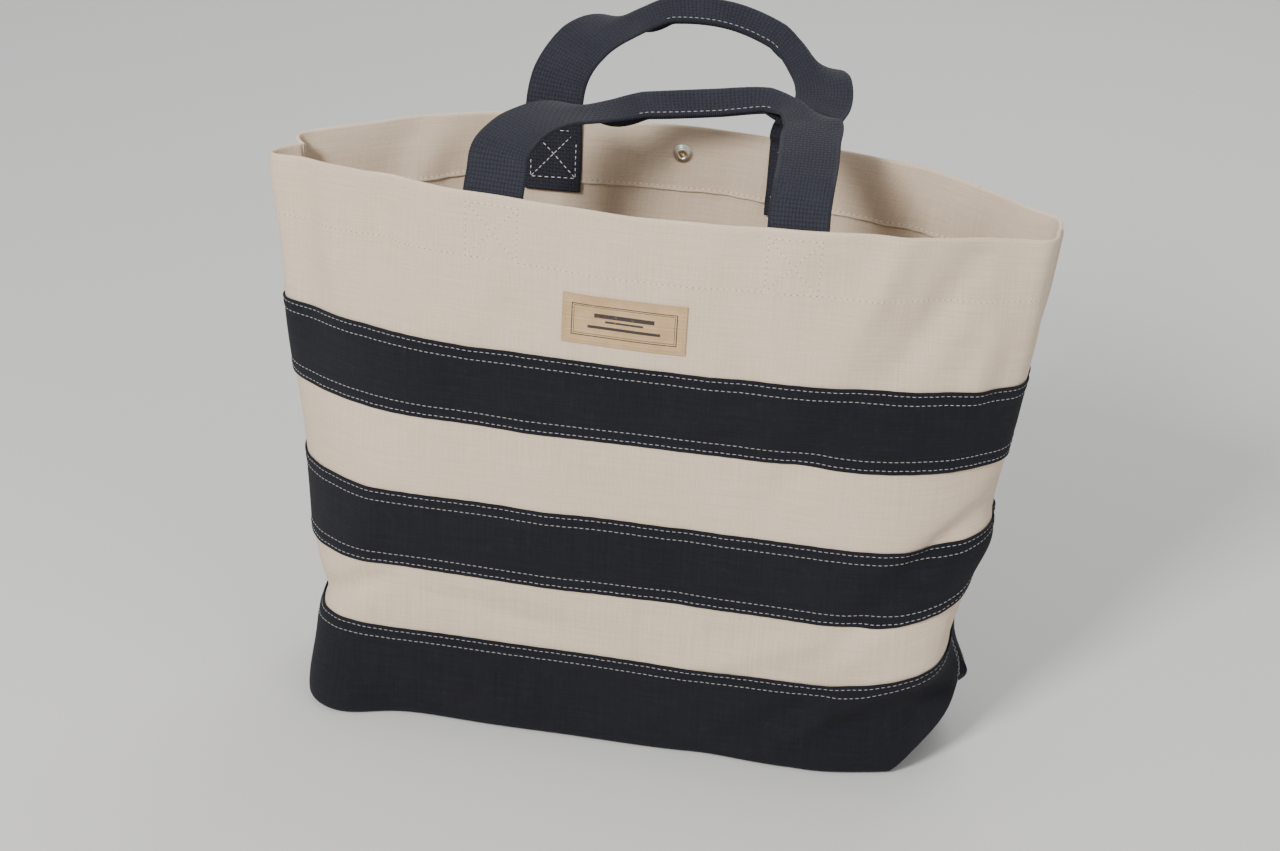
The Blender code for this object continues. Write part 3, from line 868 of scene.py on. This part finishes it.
class Handle:
    """One length of webbing: sewn end, loop with its folded grip, sewn end."""

    def __init__(self, face, swing):
        self.face = face
        self.swing = swing
        fold = FOLDS[face]
        loop = [(x + fold.x, y + fold.y, z + fold.z, *rest) for x, y, z, *rest in ROUTES[face]]
        stops = (sewn_stops(face, ENDS[face][0], True) + loop
                 + sewn_stops(face, ENDS[face][1], False))
        rows, self.away = smooth_through(stops, 0.0018)
        self.middle = rows[:, :3]
        along = np.gradient(self.middle, self.away, axis=0)
        self.along = along / np.linalg.norm(along, axis=1, keepdims=True)
        side = rows[:, 3:6]
        side = side - self.along * (side * self.along).sum(1, keepdims=True)
        self.side = side / np.linalg.norm(side, axis=1, keepdims=True)
        self.front = np.cross(self.side, self.along)
        self.fold = np.clip(rows[:, 6], 0, 1)

    def place(self, row, across, off):
        """Points of the webbing: across its width, off its middle layer, on the given rows."""
        fold = np.maximum(self.fold[row], 1e-4)
        bend = self.swing * pi * fold / FOLD_ARC
        near = np.clip(across, -FOLD_ARC / 2, FOLD_ARC / 2)
        angle = bend * (near - FOLD_ARC / 2)
        start = -bend * FOLD_ARC / 2
        x = (np.sin(angle) - np.sin(start)) / bend + (across - near) * np.cos(angle)
        y = (np.cos(start) - np.cos(angle)) / bend + (across - near) * np.sin(angle)
        x = x - np.sin(angle) * off - fold * WEB_HALF / 2
        y = y + np.cos(angle) * off - self.swing * fold * FOLD_ARC / pi
        return self.middle[row] + self.side[row] * x[:, None] + self.front[row] * y[:, None]

    def build(self, material, nodes):
        """The webbing with rounded selvedges, closed at both cut ends."""
        flat = list(np.linspace(-WEB_HALF + WEB_SIDE, WEB_HALF - WEB_SIDE, 22))
        turned = [(WEB_HALF - WEB_SIDE + 1.15 * WEB_SIDE * cos(a), 1.12 * WEB_SIDE * sin(a))
                  for a in (pi / 3, pi / 8, -pi / 8, -pi / 3)]
        ring = [(a, WEB_SIDE) for a in flat] + turned + [(a, -WEB_SIDE) for a in flat[::-1]]
        ring += [(-a, -b) for a, b in turned] + [(flat[0], WEB_SIDE)]
        across, off = np.array(ring).T

        def lay(column, row):
            return self.place(row, across[column], off[column])

        def measure(column, row):
            return across[column], self.away[row]

        bm = woven(len(ring), len(self.away), lay, measure, weld=True)
        bmesh.ops.holes_fill(bm, edges=[edge for edge in bm.edges if edge.is_boundary], sides=0)
        bmesh.ops.recalc_face_normals(bm, faces=bm.faces)
        piece = finish_piece(f"{self.face}_handle_webbing", bm, material, None, *nodes)
        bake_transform(piece)
        return piece

    def grip_runs(self):
        rows = np.nonzero(self.fold > 0.86)[0]
        runs = []
        for across in (WEB_HALF - 0.0028, -WEB_HALF + 0.0028):
            for off in (-self.swing * (WEB_SIDE + 0.0001),):
                line = self.place(rows, np.full(len(rows), across), np.full(len(rows), off))
                base = self.place(rows, np.full(len(rows), across), np.zeros(len(rows)))
                up = (line - base) / np.linalg.norm(line - base, axis=1, keepdims=True)
                runs.append((line, up))
        return runs


def make_handles(material, light, white, natural, hole_shade):
    for face, swing in (("front", -1), ("back", -1)):
        handle = Handle(face, swing)
        handle.build(material, [f"{face}_handle_left_end", f"{face}_handle_right_end",
                                f"{face}_handle_loop"])
        sew(f"{face}_grip_stitches", light, handle.grip_runs(), body=f"{face}_handle",
            width=0.00045)
        inside, outside = [], []
        for x in ENDS[face]:
            inside += box_runs(x, face, WEB_DEPTH + WEB_SIDE + 0.0001, HEIGHT - 0.007,
                               HEIGHT - 0.0405, 0.0150)
            outside += box_runs(x, face, OUTER - 0.0001, HEIGHT - 0.006, HEIGHT - HEM_ROW, 0.0165)
        sew(f"{face}_handle_end_stitches", white, inside)
        sew(f"{face}_outer_box_stitches", natural, outside)
        # Painted shade in the needle holes of the outer box stitching.
        paint_hole_shade(f"{face}_outer_box_hole_shades", hole_shade, outside)


# ---------------------------------------------------------------- snap

SOCKET = [(0.0026, 0.0001), (0.0026, 0.0012), (0.0022, 0.0016), (0.0022, 0.0028), (0.0026, 0.0033),
          (0.0034, 0.0035), (0.0040, 0.0031), (0.0043, 0.0021), (0.0051, 0.0016), (0.0059, 0.0017),
          (0.0064, 0.0013), (0.0065, 0.0006), (0.0063, 0.0001)]
SOCKET_EYE = [(0.0, 0.0004), (0.0011, 0.0004), (0.0013, 0.0010), (0.0019, 0.0012), (0.0025, 0.0010),
              (0.0025, 0.0002)]
STUD = [(0.0, 0.0031), (0.0009, 0.0034), (0.0013, 0.0040), (0.0018, 0.0040), (0.0021, 0.0035),
        (0.0021, 0.0028), (0.0018, 0.0021), (0.0019, 0.0014), (0.0028, 0.0011), (0.0050, 0.0011),
        (0.0057, 0.0008), (0.0058, 0.0001)]


def turned(name, profile, material, face, drop, nodes=()):
    """A fitting turned from its outline and seated on the inside of a hem."""
    bm = bmesh.new()
    verts = [bm.verts.new((radius, 0, height)) for radius, height in profile]
    edges = [bm.edges.new(pair) for pair in zip(verts, verts[1:])]
    bmesh.ops.spin(bm, geom=verts + edges, cent=(0, 0, 0), axis=(0, 0, 1), angle=2 * pi, steps=48,
                   use_merge=True, use_duplicate=False)
    bmesh.ops.remove_doubles(bm, verts=bm.verts, dist=1e-6)
    bmesh.ops.recalc_face_normals(bm, faces=bm.faces)
    turn, rise = turn_at(np.array([0.0]), HEIGHT, face), np.array([HEIGHT - drop])
    seat = laid(turn, rise, np.array([HEM_DEPTH + 0.0006 + PLY / 2 - 0.0003]))[0]
    facing = Vector(-outward(turn, rise)[0])
    level = Vector((1, 0, 0))
    across = facing.cross(level).normalized()
    spot = Matrix((across.cross(facing), across, facing)).transposed()
    bmesh.ops.transform(bm, matrix=Matrix.LocRotScale(Vector(seat), spot, None), verts=bm.verts)
    return finish_piece(name, bm, material, "root", *nodes, slot="nickel")


def make_snap(bright, brass):
    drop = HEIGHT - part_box("snap_socket")[0].z - 0.0064
    turned("snap_socket_cap", SOCKET, bright, "back", drop, ["snap_socket", "snap_socket_ring"])
    turned("snap_socket_eye", SOCKET_EYE, brass, "back", drop)
    turned("snap_stud_cap", STUD, bright, "front", drop, ["snap_stud", "snap_stud_ring"])


# ---------------------------------------------------------------- stage

def make_stage():
    bm = bmesh.new()
    bmesh.ops.create_grid(bm, x_segments=1, y_segments=1, size=6)
    mesh = bpy.data.meshes.new("floor")
    bm.to_mesh(mesh)
    bm.free()
    floor = bpy.data.objects.new("floor", mesh)
    floor.location.z = -0.0006
    bpy.context.scene.collection.objects.link(floor)
    pale = Finish("pale_floor", {"Base Color": (0.62, 0.61, 0.59, 1), "Roughness": 0.85})
    mesh.materials.append(pale.material)
    world = bpy.data.worlds.new("studio")
    world.use_nodes = True
    world.node_tree.nodes["Background"].inputs[0].default_value = (0.90, 0.92, 0.95, 1)
    world.node_tree.nodes["Background"].inputs[1].default_value = 0.70
    bpy.context.scene.world = world
    for name, place, size, power in (("key", (-0.9, -2.3, 1.9), 0.6, 105),
                                     ("fill", (2.0, -1.6, 1.2), 1.6, 14),
                                     ("rear", (0.4, 1.8, 1.9), 1.4, 22)):
        light = bpy.data.objects.new(name, bpy.data.lights.new(name, "AREA"))
        light.data.size = size
        light.data.energy = power
        light.location = place
        aim = Vector((0, 0, 0.2)) - Vector(place)
        light.rotation_euler = aim.to_track_quat("-Z", "Y").to_euler()
        bpy.context.scene.collection.objects.link(light)


def main():
    make_camera()
    make_stage()
    cream = canvas("natural_canvas", (0.84, 0.68, 0.52, 1), (0.73, 0.57, 0.41, 1),
                   (0.28, 0.18, 0.10, 1), 0.00080, 0.10, 0.06)
    navy = canvas("navy_canvas", (0.0125, 0.0125, 0.0180, 1), (0.0070, 0.0070, 0.0105, 1),
                  (0.045, 0.045, 0.052, 1), 0.00080, 0.25, 0.02)
    web = webbing()
    # The second colour of each thread is the painted shade in its twist's grooves.
    light = thread("light_thread", (0.50, 0.49, 0.48, 1), (0.30, 0.29, 0.29, 1))
    white = thread("white_thread", (0.85, 0.83, 0.80, 1), (0.60, 0.58, 0.55, 1))
    natural = thread("natural_thread", (0.88, 0.82, 0.74, 1), (0.66, 0.58, 0.48, 1))
    # Painted shade: a dark colour for the needle holes between stitches.
    hole_shade = Finish("needle_hole_painted_shade", {"Base Color": (0.16, 0.11, 0.07, 1), "Roughness": 0.95}).material
    tan = thread("tan_thread", (0.50, 0.33, 0.17, 1), (0.34, 0.21, 0.10, 1))
    make_boot(navy)
    make_panels(cream)
    make_bands(navy)
    make_seam_tapes(cream)
    make_patch(patch_cloth())
    make_stitching(light, natural, tan, hole_shade)
    make_handles(web, light, white, natural, hole_shade)
    make_snap(nickel("nickel", (0.80, 0.78, 0.74, 1), (0.34, 0.31, 0.28, 1)),
              nickel("brass_eye", (0.50, 0.36, 0.18, 1), (0.16, 0.11, 0.06, 1)))


main()
